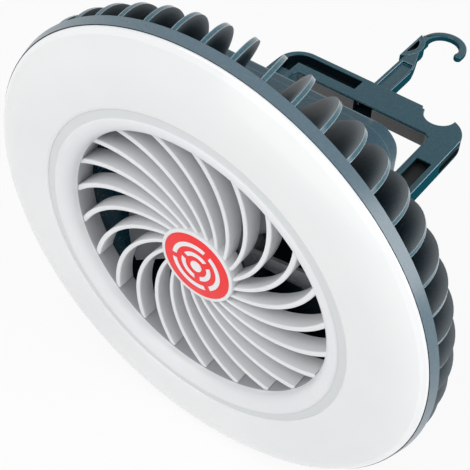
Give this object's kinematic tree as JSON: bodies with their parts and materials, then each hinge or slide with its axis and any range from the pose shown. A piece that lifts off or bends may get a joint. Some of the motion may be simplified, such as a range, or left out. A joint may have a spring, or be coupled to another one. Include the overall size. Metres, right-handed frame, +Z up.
{
  "type": "portable camping fan",
  "caption": "Round camping fan with a ring light, swept guard vanes and a finned rim, on a battery box with a fold-out carrying frame and folding hook.",
  "frame": {"origin": "middle of the carrying frame's grip bar, the bar that is held or hung up, halfway through its width and its thickness", "axes": "+Y along the fan's axis from the face to the back and on to the grip bar, so the fan blows towards -Y; +X along the frame's pivot axis, to the right as seen from the front; +Z up, square to the frame"},
  "size_m": [0.2026, 0.1975, 0.2026],
  "materials": {
    "shell": "moulded, fine matt grain",
    "cover": "moulded, fine matt grain",
    "carry": "moulded, fine matt grain",
    "lens": "frosted diffuser with a polished bevel",
    "grille": "moulded, satin white",
    "badge": "smooth satin",
    "inlay": "smooth print",
    "board_white": "white solder resist",
    "diode": "phosphor",
    "blade": "smooth moulded",
    "steel": "ground",
    "zinc": "zinc plated",
    "magnet": "bonded ferrite, matt",
    "core": "stamped laminations",
    "copper": "enamelled copper wire",
    "base_metal": "die cast",
    "tray": "moulded",
    "cell": "shrink sleeve over the can",
    "nickel": "spot welded strip",
    "pcb": "green solder resist",
    "component": "moulded packages",
    "button": "soft matt",
    "light_pipe": "milky",
    "brass_wave": "spring temper"
  },
  "bodies": {
    "carrying_frame": {"frame": "carry", "hook_pin": "steel"},
    "fan_body": {"housing": "shell", "rear_cover": "cover", "light_lens": "lens", "front_grille": "grille", "hub_badge": "badge", "badge_inlay": "inlay", "light_board": "board_white", "light_diodes": "diode", "stator_core": "core", "stator_windings": "copper", "motor_bearings": "steel", "motor_base": "base_metal", "motor_screws": "zinc", "grille_screws": "zinc", "battery_tray": "tray", "battery_cells": "cell", "cell_tabs": "nickel", "control_board": "pcb", "board_parts": "component", "board_screws": "zinc", "button_switches": "component", "charge_lights": "light_pipe", "charge_socket": "steel", "cover_screws": "zinc", "pivot_pins": "steel", "friction_washers": "brass_wave"},
    "rotor": {"impeller": "blade", "motor_shaft": "steel", "shaft_clip": "zinc", "rotor_can": "steel", "rotor_magnet": "magnet"},
    "hook": {"hook": "carry"},
    "fan_button": {"fan_button": "button"},
    "light_button": {"light_button": "button"}
  },
  "joints": [
    {"name": "frame_pivot", "type": "hinge", "parent": "carrying_frame", "child": "fan_body", "pos_m": [0, -0.07005, 0], "axis": [1, 0, 0], "range_deg": [-90, 50]},
    {"name": "impeller_spin", "type": "hinge", "parent": "fan_body", "child": "rotor", "pos_m": [0.0021, -0.10885, 0], "axis": [0, 1, 0], "continuous": true},
    {"name": "hook_fold", "type": "hinge", "parent": "carrying_frame", "child": "hook", "pos_m": [0.001, -0.00035, 0], "axis": [-1, 0, 0], "range_deg": [0, 90]},
    {"name": "fan_button_press", "type": "slide", "parent": "fan_body", "child": "fan_button", "axis": [0, -1, 0], "range_m": [0, 0.0005], "stiffness_N_per_m": 1500, "springref_m": -0.0002},
    {"name": "light_button_press", "type": "slide", "parent": "fan_body", "child": "light_button", "axis": [0, -1, 0], "range_m": [0, 0.0005], "stiffness_N_per_m": 1500, "springref_m": -0.0002}
  ]
}
